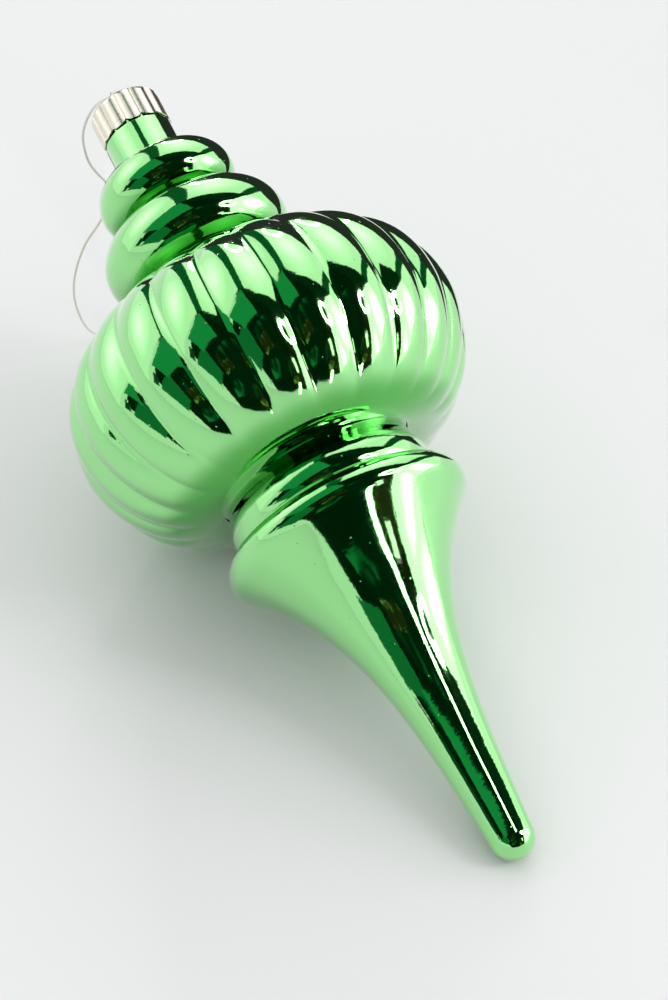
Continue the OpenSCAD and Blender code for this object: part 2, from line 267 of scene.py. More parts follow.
@dataclass(frozen=True)
class BodyOutline:
    """Works out the outline of the moulded body and how deep its grooves are at each station.

    Attributes:
        sizes: the body's sizes.
        bulb_rows: how many rows of faces the bulb has.
        corner_cut: length taken off each side of a sharp corner, in millimetres.
        corner_turn: the turn from which a corner is sharp, in degrees.
        arc_end: how far the arcs of the collar and the large ring run down, in degrees.
        small_arc_end: the same for the small ring.
        fillet_margin: how many fillets out from the waist the bulb's own curve begins.
        tip_steps: steps of the ball tip; each field that follows is the same for the curve it names.
    """

    sizes: BodySizes
    bulb_rows: int = 84
    corner_cut: float = 0.25
    corner_turn: float = 22.0
    arc_end: float = 80.0
    small_arc_end: float = 74.0
    fillet_margin: float = 1.2
    tip_steps: int = 16
    flare_steps: int = 70
    front_steps: int = 12
    back_steps: int = 18
    collar_steps: int = 18
    fillet_steps: int = 12
    ring_steps: int = 22
    notch_steps: int = 26

    def cone(self) -> np.ndarray:
        """The ball tip, the flare as one cubic curve, and the round shoulder.

        Returns:
            An (n, 2) array of stations and radii.
        """
        s = self.sizes
        tip, shoulder = math.radians(s.tip_slope), math.radians(s.shoulder_slope)
        start = np.array([s.tip_radius, 0]) + s.tip_radius * np.array([-math.sin(tip), math.cos(tip)])
        centre = np.array([s.shoulder_station, s.shoulder_radius - s.shoulder_round])
        end = centre + s.shoulder_round * np.array([-math.sin(shoulder), math.cos(shoulder)])
        ball = ellipse_arc((s.tip_radius, 0), s.tip_radius, s.tip_radius, -90, -s.tip_slope, self.tip_steps)
        leave = start + s.flare_tip_reach * np.array([math.cos(tip), math.sin(tip)])
        arrive = end - s.flare_shoulder_reach * np.array([math.cos(shoulder), math.sin(shoulder)])
        flare = bezier((start, leave, arrive, end), self.flare_steps)
        bend = s.shoulder_round
        front = ellipse_arc(centre, bend, bend, -s.shoulder_slope, 0, self.front_steps)
        back = ellipse_arc(centre, s.shoulder_back, bend, 0, 90, self.back_steps)
        return np.concatenate([ball, flare[1:], front[1:], back[1:]])

    def collar_and_waist(self) -> np.ndarray:
        """The collar as an arc of an ellipse, and the small fillet at the end of the waist.

        Returns:
            An (n, 2) array of stations and radii.
        """
        s = self.sizes
        middle, end = (s.collar_station, s.collar_radius - s.collar_height), self.arc_end
        collar = ellipse_arc(middle, s.collar_half_width, s.collar_height, -end, end, self.collar_steps)
        station = s.crease_station - s.waist_fillet / math.tan(math.radians(180 - s.dish_lean) / 2)
        middle, radius = (station, s.waist_reach), s.waist_fillet
        fillet = ellipse_arc(middle, radius, -radius, 0, s.dish_lean, self.fillet_steps)
        return np.concatenate([collar, fillet])

    def bulb(self) -> np.ndarray:
        """The bulb: a cubic curve below its widest point, and above it a flattened round.

        Above, with S the distance up as a share of its reach, the radius is R * (1 - S ** A) ** (1 / B).

        Returns:
            An (n, 2) array of stations and radii.
        """
        s = self.sizes
        crease = np.array([s.crease_station, s.waist_radius])
        lean = math.radians(s.dish_lean)
        leave = crease + s.dish_reach * np.array([math.cos(lean), math.sin(lean)])
        arrive = (s.bulb_station - s.belly_reach, s.bulb_radius)
        half = self.bulb_rows // 2
        under = bezier((crease, leave, arrive, (s.bulb_station, s.bulb_radius)), half)
        station = s.bulb_station + s.bulb_over * np.sin(np.linspace(0, math.pi / 2, half + 1))
        inner = 1 - ((station - s.bulb_station) / s.bulb_over_reach) ** s.bulb_crown_power
        upper = np.stack([station, s.bulb_radius * inner ** (1 / s.bulb_side_power)], axis=1)
        clear = under[:, 1] > s.waist_radius + self.fillet_margin * s.waist_fillet
        return np.concatenate([under[clear], upper[1:]])

    def rings_and_neck(self) -> np.ndarray:
        """The two rings, each as two arcs, the neck, and its mouth with the wall turned in.

        Returns:
            An (n, 2) array of stations and radii.
        """
        s = self.sizes
        large, small = s.large_station, s.small_station
        large_base = (large, s.large_ring_radius - s.large_ring_height)
        small_base = (small, s.small_ring_radius - s.small_ring_half_width)
        large_drop, small_drop = s.large_ring_radius - s.notch_radius, s.small_ring_radius - s.neck_radius
        steps, notch, width = self.ring_steps, (large, s.notch_radius), s.small_ring_half_width
        first = ellipse_arc(large_base, s.large_ring_half_width, s.large_ring_height, -self.arc_end, 0, steps)
        second = ellipse_arc(notch, s.notch_station - large, large_drop, 0, 90, self.notch_steps)
        third = ellipse_arc(small_base, width, width, -self.small_arc_end, 0, steps)
        fourth = ellipse_arc((small, s.neck_radius), width, small_drop, 0, 90, steps)
        bore = s.mouth_radius - s.wall
        mouth = np.array(
            [
                [s.step_station, s.neck_radius],
                [s.step_station, s.mouth_radius],
                [s.mouth_station, s.mouth_radius],
                [s.mouth_station, bore],
                [s.step_station, bore],
            ]
        )
        return np.concatenate([first, second[1:], third, fourth[1:], mouth])

    def whole(self) -> tuple[np.ndarray, np.ndarray]:
        """The outline from the tip to inside the mouth.

        A groove is deepest on the bulb's outer part: its share of the radius rises smoothly
        by x * x * (3 - 2 * x), where x runs from 0 to 1 between two shares of the bulb's radius.

        Returns:
            The (n, 2) outline, and each point's groove depth as a share of its radius.
        """
        s = self.sizes
        lower = np.concatenate([self.cone(), self.collar_and_waist()])
        below = soften_corners(lower, self.corner_cut, self.corner_turn)
        bulb = self.bulb()
        rings = self.rings_and_neck()
        upper = np.concatenate([[[bulb[-1, 0], rings[0, 1]]], rings])
        above = soften_corners(upper, self.corner_cut, self.corner_turn)
        outward = (bulb[:, 1] - s.groove_start * s.bulb_radius) / (s.groove_rise * s.bulb_radius)
        depth = s.groove_share * smooth_step(outward)
        outline = np.concatenate([below, bulb, above])
        share = np.concatenate([np.zeros(len(below)), depth, np.zeros(len(above))])
        return outline, share


class NodeGraph:
    """Short-hand for building a material's nodes."""

    def __init__(self, name: str) -> None:
        """Starts a material with its one shader.

        Args:
            name: name of the material.
        """
        self.material = bpy.data.materials.new(name)
        self.material.use_nodes = True
        self.tree = self.material.node_tree
        self.shader = self.tree.nodes["Principled BSDF"]

    def add(self, kind: str, **values: object) -> bpy.types.Node:
        """Adds a node.

        Args:
            kind: the node's type.
            values: properties of the node to set.

        Returns:
            The new node.
        """
        node = self.tree.nodes.new(kind)
        for key, value in values.items():
            setattr(node, key, value)
        return node

    def link(self, source: bpy.types.NodeSocket, target: bpy.types.NodeSocket) -> None:
        """Joins an output to an input."""
        self.tree.links.new(source, target)

    def set(self, **values: object) -> None:
        """Sets sockets of the shader; underscores in the names stand for spaces."""
        for key, value in values.items():
            self.shader.inputs[key.replace("_", " ")].default_value = value

    def bump(
        self,
        height: bpy.types.NodeSocket,
        distance: float,
        strength: float,
        normal: Optional[bpy.types.NodeSocket] = None,
    ) -> bpy.types.NodeSocket:
        """Adds a bump.

        Args:
            height: the height that it follows.
            distance: how deep it is, in metres.
            strength: how much of it counts.
            normal: the normal of an earlier bump that it goes on from.

        Returns:
            The bumped normal.
        """
        node = self.add("ShaderNodeBump")
        node.inputs["Distance"].default_value = distance
        node.inputs["Strength"].default_value = strength
        self.link(height, node.inputs["Height"])
        if normal is not None:
            self.link(normal, node.inputs["Normal"])
        return node.outputs["Normal"]

    def spread(self, source: bpy.types.NodeSocket, given: Pair, wanted: Pair) -> bpy.types.NodeSocket:
        """Adds a smooth map from one range to another.

        Args:
            source: the value to map.
            given: the range it comes in.
            wanted: the range it goes to.

        Returns:
            The mapped value.
        """
        node = self.add("ShaderNodeMapRange", interpolation_type="SMOOTHSTEP")
        node.inputs["From Min"].default_value, node.inputs["From Max"].default_value = given
        node.inputs["To Min"].default_value, node.inputs["To Max"].default_value = wanted
        self.link(source, node.inputs["Value"])
        return node.outputs["Result"]


@dataclass(frozen=True)
class Grain:
    """A fine relief that follows a noise.

    Attributes:
        scale: its cells per metre.
        detail: how many finer layers it has.
        depth: how deep it is, in metres.
        strength: how much of it counts.
    """

    scale: float
    detail: float
    depth: float
    strength: float

    def normal(self, g: NodeGraph, under: Optional[bpy.types.NodeSocket] = None) -> bpy.types.NodeSocket:
        """The normal that the relief gives.

        Args:
            g: the material's nodes.
            under: the normal of a coarser relief that it lies on.

        Returns:
            The bumped normal.
        """
        coordinates = g.add("ShaderNodeTexCoord")
        noise = g.add("ShaderNodeTexNoise")
        noise.inputs["Scale"].default_value = self.scale
        noise.inputs["Detail"].default_value = self.detail
        g.link(coordinates.outputs["Object"], noise.inputs["Vector"])
        return g.bump(noise.outputs["Fac"], self.depth, self.strength, under)


@dataclass(frozen=True)
class MirrorLacquer:
    """Clear green lacquer over a mirror-metallised moulding, with a light orange-peel, small pits and painted
    shade.

    Attributes:
        name: name of the material.
        thin: the lacquer's own colour, where no shade is painted.
        deep: the darker green painted in as shade, mixed in by the piece's own attribute painted_shade.
        roughness: roughness of the metal under it.
        gloss: roughness of the lacquer's own face.
        gloss_ior: its refractive index.
        wave: the moulding's slow waves.
        peel: the orange-peel.
        pit_scale: pits' cells per metre.
        pit_radius: a pit's radius as a share of its cell.
        bare_share: share of the cells that have no pit.
        pit_depth: how deep a pit is, in metres.
    """

    name: str = "mirror_green"
    thin: Colour = (0.33, 0.83, 0.29)
    deep: Colour = (0.05, 0.42, 0.035)
    roughness: float = 0.06
    gloss: float = 0.03
    gloss_ior: float = 1.6
    wave: Grain = Grain(90.0, 1.5, 0.0004, 0.5)
    peel: Grain = Grain(900.0, 2.0, 0.00003, 0.4)
    pit_scale: float = 520.0
    pit_radius: float = 0.13
    bare_share: float = 0.6
    pit_depth: float = 0.00006

    def pits(self, g: NodeGraph) -> bpy.types.NodeSocket:
        """Height of scattered small pits: a round dip in some of the cells of a cell pattern.

        Args:
            g: the material's nodes.

        Returns:
            The height, 0 at the middle of a pit and 1 off it.
        """
        coordinates = g.add("ShaderNodeTexCoord")
        cells = g.add("ShaderNodeTexVoronoi")
        cells.inputs["Scale"].default_value = self.pit_scale
        g.link(coordinates.outputs["Object"], cells.inputs["Vector"])
        dip = g.spread(cells.outputs["Distance"], (0.0, self.pit_radius), (0.0, 1.0))
        pick = g.add("ShaderNodeSeparateColor")
        g.link(cells.outputs["Color"], pick.inputs["Color"])
        bare = g.add("ShaderNodeMath", operation="LESS_THAN")
        bare.inputs[1].default_value = self.bare_share
        g.link(pick.outputs["Red"], bare.inputs[0])
        height = g.add("ShaderNodeMath", operation="MAXIMUM")
        g.link(dip, height.inputs[0])
        g.link(bare.outputs["Value"], height.inputs[1])
        return height.outputs["Value"]

    def material(self) -> bpy.types.Material:
        """Builds the material.

        Returns:
            The new material.
        """
        g = NodeGraph(self.name)
        g.set(Metallic=1.0, Roughness=self.roughness, Base_Color=(*self.thin, 1.0))
        g.set(Coat_Weight=1.0, Coat_Roughness=self.gloss, Coat_IOR=self.gloss_ior)
        # Painted shade: the colour goes toward the darker green where the body stores shade.
        depth = g.add("ShaderNodeAttribute", attribute_name="painted_shade")
        lacquer = g.add("ShaderNodeMix", data_type="RGBA")
        lacquer.inputs["A"].default_value = (*self.thin, 1.0)
        lacquer.inputs["B"].default_value = (*self.deep, 1.0)
        g.link(depth.outputs["Fac"], lacquer.inputs["Factor"])
        g.link(lacquer.outputs["Result"], g.shader.inputs["Base Color"])
        fine = self.peel.normal(g, self.wave.normal(g))
        pitted = g.bump(self.pits(g), self.pit_depth, 1.0, fine)
        g.link(pitted, g.shader.inputs["Normal"])
        return g.material


@dataclass(frozen=True)
class GrainedFinish:
    """A plain finish with a fine grain.

    Attributes:
        name: name of the material.
        colour: its colour.
        metallic: 1 for a metal, 0 for a fibre.
        roughness: how dull it is.
        grain: its grain.
    """

    name: str
    colour: Colour
    metallic: float
    roughness: float
    grain: Grain

    def material(self) -> bpy.types.Material:
        """Builds the material.

        Returns:
            The new material.
        """
        g = NodeGraph(self.name)
        g.set(Metallic=self.metallic, Roughness=self.roughness, Base_Color=(*self.colour, 1.0))
        g.link(self.grain.normal(g), g.shader.inputs["Normal"])
        return g.material


CAP_METAL = GrainedFinish("cap_metal", (0.88, 0.82, 0.71), 1.0, 0.25, Grain(1500.0, 3.0, 0.00004, 0.5))
WIRE_METAL = GrainedFinish("wire_metal", (0.6, 0.58, 0.54), 1.0, 0.3, Grain(2500.0, 2.0, 0.00002, 0.4))
THREAD_FIBRE = GrainedFinish("thread_fibre", (0.8, 0.77, 0.73), 0.0, 0.6, Grain(4000.0, 2.0, 0.0001, 0.6))


def closed_grid(name: str, points: np.ndarray, rows: int, columns: int) -> bpy.types.Object:
    """A surface of rows by columns that closes round its columns.

    The face at row R and column C joins the points (R, C), (R, C + 1), (R + 1, C + 1) and
    (R + 1, C), and the last column's faces join the first column's points.

    Args:
        name: the object's name.
        points: (rows * columns, 3) points in metres, row by row.
        rows: number of rows.
        columns: number of columns, the last joined to the first.

    Returns:
        The new object, linked to the scene.
    """
    mesh = bpy.data.meshes.new(name)
    row, column = np.meshgrid(np.arange(rows - 1), np.arange(columns), indexing="ij")
    follow = (column + 1) % columns
    lower, upper = row * columns, (row + 1) * columns
    faces = np.stack([lower + column, lower + follow, upper + follow, upper + column], axis=-1).reshape(-1, 4)
    mesh.vertices.add(len(points))
    mesh.vertices.foreach_set("co", points.astype(np.float32).ravel())
    mesh.loops.add(faces.size)
    mesh.loops.foreach_set("vertex_index", faces.astype(np.int32).ravel())
    mesh.polygons.add(len(faces))
    mesh.polygons.foreach_set("loop_start", np.arange(0, faces.size, 4, dtype=np.int32))
    mesh.polygons.foreach_set("use_smooth", np.ones(len(faces), dtype=bool))
    mesh.update(calc_edges=True)
    mesh.validate()
    piece = bpy.data.objects.new(name, mesh)
    bpy.context.scene.collection.objects.link(piece)
    return piece


@dataclass(frozen=True)
class TiltLimit:
    """Keeps shading normals from leaning too far toward the tip.

    Attributes:
        ease: the tilt from which it works, in degrees.
        limit: the tilt that it never lets through.
    """

    ease: float
    limit: float

    def soften(self, tilt: np.ndarray) -> np.ndarray:
        """Past the ease E, a tilt T becomes E + (L - E) * (1 - exp(-(T - E) / (L - E))), below the limit L.

        Args:
            tilt: an array of tilts in degrees.

        Returns:
            The softened tilts.
        """
        span = self.limit - self.ease
        over = np.maximum(tilt - self.ease, 0)
        return np.where(tilt > self.ease, self.ease + span * (1 - np.exp(-over / span)), tilt)


@dataclass(frozen=True)
class MouldedBody:
    """The smooth, lobed body that is shown in place of the faceted solid.

    Attributes:
        sizes: the body's sizes.
        lie: how it lies on the floor.
        finish: its lacquer.
        steps_per_lobe: columns of faces on each lobe.
        flare_start: station where the flare's shading begins to be eased, in millimetres.
        flare_tilt: the limit on the flare's shading normals.
        under_tilt: the limit on those of the bulb's underside.
        waist_tilt: how far the waist's normals lean at its two ends, in degrees.
        waist_shade_width: half width of the painted shade in the waist, in millimetres.
        notch_shade_width: the same in the notch between the rings.
        crown_shade_width: the same in the groove between the bulb and the large ring.
        crown_shade_offset: how far past the bulb that groove's middle lies.
        under_shade: how far down a normal points where the painted shade underneath begins and where it is
            full.
        edge_clear: how far the flare's easing stays off the shoulder, in millimetres.
        crease_overlap: how far the underside's easing reaches over the crease.
        waist_overrun: where the waist's shading ends, with the crease at 1.
    """

    sizes: BodySizes
    lie: Lie
    finish: MirrorLacquer
    steps_per_lobe: int = 12
    flare_start: float = 20.0
    flare_tilt: TiltLimit = TiltLimit(30.0, 44.0)
    under_tilt: TiltLimit = TiltLimit(42.0, 58.0)
    waist_tilt: float = 50.0
    waist_shade_width: float = 3.6
    notch_shade_width: float = 3.0
    crown_shade_width: float = 3.2
    crown_shade_offset: float = 2.4
    under_shade: Pair = (0.05, 0.55)
    edge_clear: float = 1.0
    crease_overlap: float = 2.0
    waist_overrun: float = 1.3

    def build(self) -> bpy.types.Object:
        """Turns the outline round its axis and presses the lobes in.

        At angle A and station S the radius is R(S) * (1 - D(S) * X ** 2), where D is the
        groove's share and X runs from -1 to 1 across each lobe.

        Returns:
            The body, dressed and bound to its node.
        """
        outline, share = BodyOutline(self.sizes).whole()
        columns = self.sizes.lobes * self.steps_per_lobe
        step = np.arange(columns)
        angle = math.pi / 2 + 2 * math.pi * step / columns
        across = 2 * (step % self.steps_per_lobe) / self.steps_per_lobe - 1
        radius = outline[:, 1:2] * (1 - share[:, None] * across[None, :] ** 2)
        station = np.broadcast_to(outline[:, 0:1], radius.shape)
        points = np.stack([radius * np.cos(angle), radius * np.sin(angle), station], axis=-1).reshape(-1, 3)
        piece = closed_grid("body_surface", self.lie.place(points), len(outline), columns)
        self.shade(piece)
        self.paint_shade(piece, station.ravel())
        piece.data.materials.append(self.finish.material())
        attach(piece, "root")
        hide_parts("shell")
        LOG.info("body: %d rows, %d columns", len(outline), columns)
        return piece

    def paint_shade(self, piece: bpy.types.Object, station: np.ndarray) -> None:
        """Stores the painted shade: darker in the waist, in the two grooves by the rings, and underneath.

        Round each groove's station C the shade is exp(-((S - C) / W) ** 4), with W its half width.
        Underneath it rises smoothly where the surface turns down toward the floor.

        Args:
            piece: the body.
            station: each vertex's station in millimetres.
        """
        s = self.sizes
        grooves = (
            ((s.collar_end + s.crease_station) / 2, self.waist_shade_width),
            (s.notch_station, self.notch_shade_width),
            (s.bulb_station + s.bulb_over + self.crown_shade_offset, self.crown_shade_width),
        )
        # Painted shade: darkening in the three hollows, then more where the surface faces the floor.
        depth = sum(np.exp(-(((station - centre) / half) ** 4)) for centre, half in grooves)
        normal = np.empty(len(station) * 3)
        piece.data.vertices.foreach_get("normal", normal)
        begin, full = self.under_shade
        depth = depth + smooth_step((-normal[2::3] - begin) / (full - begin))
        layer = piece.data.attributes.new("painted_shade", "FLOAT", "POINT")
        layer.data.foreach_set("value", np.clip(depth, 0, 1).astype(np.float32))

    def shade(self, piece: bpy.types.Object) -> None:
        """Eases the shading of the flare and of the bulb's underside, and hollows the waist's.

        A normal's tilt is the angle by which it leans from straight out toward the tip. On the
        flare and under the bulb it is softened to stay below a limit. Along the waist it runs
        from minus the waist's tilt at the collar to plus it at the bulb. The surface itself
        stays where it is.

        Args:
            piece: the body.
        """
        s, mesh = self.sizes, piece.data
        place, normal = np.empty(len(mesh.vertices) * 3), np.empty(len(mesh.vertices) * 3)
        mesh.vertices.foreach_get("co", place)
        mesh.vertices.foreach_get("normal", normal)
        normal = normal.reshape(-1, 3)
        axis = self.lie.axis
        place = place.reshape(-1, 3) - self.lie.place(np.zeros((1, 3)))[0]
        station = place @ axis
        outward = place - station[:, None] * axis
        reach = np.linalg.norm(outward, axis=1)
        outward = outward / np.maximum(reach, 1e-9)[:, None]
        station, reach = station / MM, reach / MM
        along, out = normal @ axis, np.sum(normal * outward, axis=1)
        aside = normal - along[:, None] * axis - out[:, None] * outward
        tilt = np.degrees(np.arctan2(-along, out))
        flare = (station > self.flare_start) & (station < s.shoulder_station - self.edge_clear)
        under = (station > s.crease_station - self.crease_overlap) & (station < s.bulb_station)
        under = under & (reach > s.waist_reach)
        tilt[flare] = self.flare_tilt.soften(tilt[flare])
        tilt[under] = self.under_tilt.soften(tilt[under])
        bend = (station - s.collar_end) / (s.crease_station - s.collar_end)
        waist = (bend > 0) & (bend < self.waist_overrun) & (reach < s.waist_reach)
        tilt[waist] = self.waist_tilt * np.clip(2 * bend[waist] - 1, -1, 1)
        size = np.sqrt(np.clip(1 - np.sum(aside * aside, axis=1), 0, 1))
        turned = np.radians(tilt)
        eased = aside - (np.sin(turned) * size)[:, None] * axis + (np.cos(turned) * size)[:, None] * outward
        mesh.normals_split_custom_set_from_vertices(eased.tolist())


@dataclass(frozen=True)
class HangingThread:
    """The hanging thread, along the route in millimetres that the part's source gives."""

    route: tuple[tuple[float, float, float], ...] = (
        (-1, 95.8, 72.1), (-2.6, 95.8, 72.2), (-4.8, 95.2, 72.1), (-7.2, 94.2, 71),
        (-9, 94, 68.1), (-9.8, 94, 64.1), (-9, 94, 58), (-7, 94, 53.5),
        (-4.9, 94, 50), (-4.4, 94, 46), (-5.4, 94, 42), (-7.9, 94, 38.2),
        (-11.7, 94, 33.5), (-14.6, 94, 26.8), (-15.7, 94, 20.8), (-15.5, 94, 16),
        (-14.3, 94, 10.6), (-12.2, 94.4, 6), (-8.6, 95.6, 1.9), (-4, 96, 0.4),
        (1.5, 94.6, 0.3), (6.5, 90.4, 0.3), (8.6, 84.5, 0.3), (7, 79, 0.3),
        (2.4, 76.8, 0.3), (-1.4, 79.6, 0.3), (-1.6, 85, 0.3), (0.2, 90, 0.6),
        (2.4, 94.4, 2.8), (3.8, 96.4, 8), (4.4, 97, 16), (4.6, 97, 26),
        (4.4, 96.8, 37), (4.2, 96.6, 48), (4.4, 96.4, 58), (4.6, 96.2, 66),
        (4, 96, 70.4), (2.6, 95.8, 72), (1, 95.8, 72.1),
    )
    diameter: float = 0.6
    steps: int = 4

    def line(self) -> np.ndarray:
        """A smooth curve through the route: between two points, the cubic that heads for their neighbours.

        Returns:
            An (n, 3) array of points in metres.
        """
        p = np.array(self.route, float)
        a, b, c, d = np.concatenate([p[:1], p[:-2]]), p[:-1], p[1:], np.concatenate([p[2:], p[-1:]])
        t = (np.arange(self.steps) / self.steps)[None, :, None]
        a, b, c, d = (x[:, None, :] for x in (a, b, c, d))
        smooth = 0.5 * (
            2 * b + (c - a) * t + (2 * a - 5 * b + 4 * c - d) * t**2 + (3 * b - a - 3 * c + d) * t**3
        )
        return np.concatenate([smooth.reshape(-1, 3), p[-1:]]) * MM

    def build(self, material: bpy.types.Material) -> bpy.types.Object:
        """Lays the thread as a round cord.

        Args:
            material: its finish, which its knot shares.

        Returns:
            The cord, dressed and bound to its node.
        """
        points = self.line()
        curve = bpy.data.curves.new("hanging_thread", "CURVE")
        curve.dimensions = "3D"
        curve.bevel_depth = self.diameter / 2 * MM
        curve.bevel_resolution = 3
        curve.use_fill_caps = True
        spline = curve.splines.new("POLY")
        spline.points.add(len(points) - 1)
        spline.points.foreach_set("co", np.concatenate([points, np.ones((len(points), 1))], axis=1).ravel())
        spline.use_smooth = True
        piece = bpy.data.objects.new("hanging_thread", curve)
        bpy.context.scene.collection.objects.link(piece)
        curve.materials.append(material)
        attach(piece, "root")
        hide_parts("thread")
        return piece


class PackedNode(Enum):
    """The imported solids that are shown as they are."""

    CAP = "cap"
    HANGER_WIRE = "hanger_wire"
    THREAD_KNOT = "thread_knot"

    def dress(self, material: bpy.types.Material) -> bpy.types.Object:
        """Gives the solid its finish.

        Args:
            material: the finish.

        Returns:
            The dressed solid.
        """
        piece = frame["nodes"][self.value]
        piece.data.materials.clear()
        piece.data.materials.append(material)
        LOG.info("%s: %s", self.value, material.name)
        return piece


class Shade(Enum):
    """Colours that the studio's sheets shine in."""

    PLAIN = (1.0, 1.0, 1.0)
    GREEN = (0.06, 1.0, 0.4)
    OLIVE = (0.8, 0.9, 0.25)


def glow(name: str, radiance: float, shade: Shade = Shade.PLAIN) -> NodeGraph:
    """A black material that shines evenly.

    Args:
        name: name of the material.
        radiance: how bright it is, where 1 is white.
        shade: its colour.

    Returns:
        The material's nodes.
    """
    g = NodeGraph(name)
    g.set(Base_Color=(0.0, 0.0, 0.0, 1.0), Roughness=1.0, Specular_IOR_Level=0.0)
    g.set(Emission_Color=(*shade.value, 1.0), Emission_Strength=radiance)
    return g


def hang_sheet(name: str, mesh: bpy.types.Mesh, g: NodeGraph, lights_floor: bool) -> None:
    """Puts a shining sheet in the studio, hidden from the camera itself.

    Args:
        name: the object's name.
        mesh: its mesh.
        g: its material's nodes.
        lights_floor: whether it lights and shadows what is matt. If not, only mirrors see it.
    """
    mesh.materials.append(g.material)
    sheet = bpy.data.objects.new(name, mesh)
    bpy.context.scene.collection.objects.link(sheet)
    sheet.visible_camera = False
    if not lights_floor:
        sheet.visible_diffuse = False
        sheet.visible_shadow = False
        g.material.cycles.emission_sampling = "NONE"


def curved_mesh(name: str, directions: np.ndarray, distance: float) -> bpy.types.Mesh:
    """A curved sheet at a distance from the ornament, through a grid of directions.

    A direction is a pair (dx, dy) in degrees: its length is the angle from straight up and
    its own direction is the compass direction, +X to the right and +Y away. A point is the
    studio's middle plus the distance times the unit vector of its direction, and is kept
    just above the floor.

    Args:
        name: the mesh's name.
        directions: a (rows, columns, 2) array of directions.
        distance: how far off the sheet hangs, in metres.

    Returns:
        The mesh, with a UV map from corner to corner.
    """
    middle, floor_clearance = np.array([0.0, 0.0, 0.05]), 0.001
    rows, columns = directions.shape[:2]
    flat = directions.reshape(-1, 2)
    zenith = np.radians(np.linalg.norm(flat, axis=1))
    compass = np.arctan2(flat[:, 1], flat[:, 0])
    side, away, up = np.sin(zenith) * np.cos(compass), np.sin(zenith) * np.sin(compass), np.cos(zenith)
    points = middle + distance * np.stack([side, away, up], axis=1)
    points[:, 2] = np.maximum(points[:, 2], floor_clearance)
    row, column = np.meshgrid(np.arange(rows - 1), np.arange(columns - 1), indexing="ij")
    first = row * columns + column
    faces = np.stack([first, first + 1, first + columns + 1, first + columns], axis=-1).reshape(-1, 4)
    mesh = bpy.data.meshes.new(name)
    mesh.from_pydata(points.tolist(), [], faces.tolist())
    v, u = np.meshgrid(np.linspace(0, 1, rows), np.linspace(0, 1, columns), indexing="ij")
    uv = np.stack([u, v], axis=-1).reshape(-1, 2)
    mesh.uv_layers.new(name="UVMap").data.foreach_set("uv", uv[faces.ravel()].astype(np.float32).ravel())
    return mesh


@dataclass(frozen=True)
class Board:
    """A board or panel of the studio, given by where it is seen from the ornament.

    Attributes:
        name: name of the board.
        corners: its four corners as directions, in turn.
        radiance: how bright it is.
        distance: how far off it hangs, in metres.
        hot: how bright its soft bright spot is, 0 for none.
        hot_at: where the spot's middle is, in shares of its two sides.
        hot_width: how far the spot reaches, in the same shares.
        shade: its colour.
        patches: how much brighter its soft patches are, 0 for none.
        lights_floor: whether a bright board lights the floor too.
        cloud_size: how many patches go along a side.
        cloud_detail: how many finer layers they have.
        cloud_swirl: how far they are drawn out.
        cloud_edges: the noise at the two ends of a patch's soft edge.
        cloud_gap: brightness between them, as a share of the board's.
        lamp_radiance: the brightness that makes a board a lamp.
        points: how many points it has along a side.
    """

    name: str
    corners: tuple[Pair, Pair, Pair, Pair]
    radiance: float
    distance: float
    hot: float = 0.0
    hot_at: Pair = (0.5, 0.5)
    hot_width: float = 0.5
    shade: Shade = Shade.PLAIN
    patches: float = 0.0
    lights_floor: bool = True
    cloud_size: float = 1.7
    cloud_detail: float = 0.6
    cloud_swirl: float = 1.2
    cloud_edges: Pair = (0.45, 0.68)
    cloud_gap: float = 0.3
    lamp_radiance: float = 1.0
    points: int = 25

    def spot(self, g: NodeGraph) -> bpy.types.NodeSocket:
        """Brightness that falls off smoothly from the bright spot's middle.

        Args:
            g: the board's nodes.

        Returns:
            The brightness.
        """
        place = g.add("ShaderNodeUVMap")
        away = g.add("ShaderNodeVectorMath", operation="DISTANCE")
        away.inputs[1].default_value = (*self.hot_at, 0.0)
        g.link(place.outputs["UV"], away.inputs[0])
        return g.spread(away.outputs["Value"], (0.0, self.hot_width), (self.hot, self.radiance))

    def clouds(self, g: NodeGraph) -> bpy.types.NodeSocket:
        """Brightness in large, soft-edged patches.

        Args:
            g: the board's nodes.

        Returns:
            The brightness.
        """
        place = g.add("ShaderNodeUVMap")
        cloud = g.add("ShaderNodeTexNoise")
        cloud.inputs["Scale"].default_value = self.cloud_size
        cloud.inputs["Detail"].default_value = self.cloud_detail
        cloud.inputs["Distortion"].default_value = self.cloud_swirl
        g.link(place.outputs["UV"], cloud.inputs["Vector"])
        dim, bright = self.cloud_gap * self.radiance, (1 + self.patches) * self.radiance
        return g.spread(cloud.outputs["Fac"], self.cloud_edges, (dim, bright))

    def build(self) -> None:
        """Hangs the board: its directions run bilinearly between its four corners."""
        a, b, c, d = (np.array(corner, float) for corner in self.corners)
        share = np.linspace(0, 1, self.points)
        v, u = np.meshgrid(share, share, indexing="ij")
        u, v = u[..., None], v[..., None]
        directions = (1 - u) * (1 - v) * a + u * (1 - v) * b + u * v * c + (1 - u) * v * d
        g = glow(self.name, self.radiance, self.shade)
        if self.patches:
            g.link(self.clouds(g), g.shader.inputs["Emission Strength"])
        if self.hot:
            g.link(self.spot(g), g.shader.inputs["Emission Strength"])
        lamp = self.radiance >= self.lamp_radiance and self.lights_floor
        hang_sheet(self.name, curved_mesh(self.name, directions, self.distance), g, lamp)


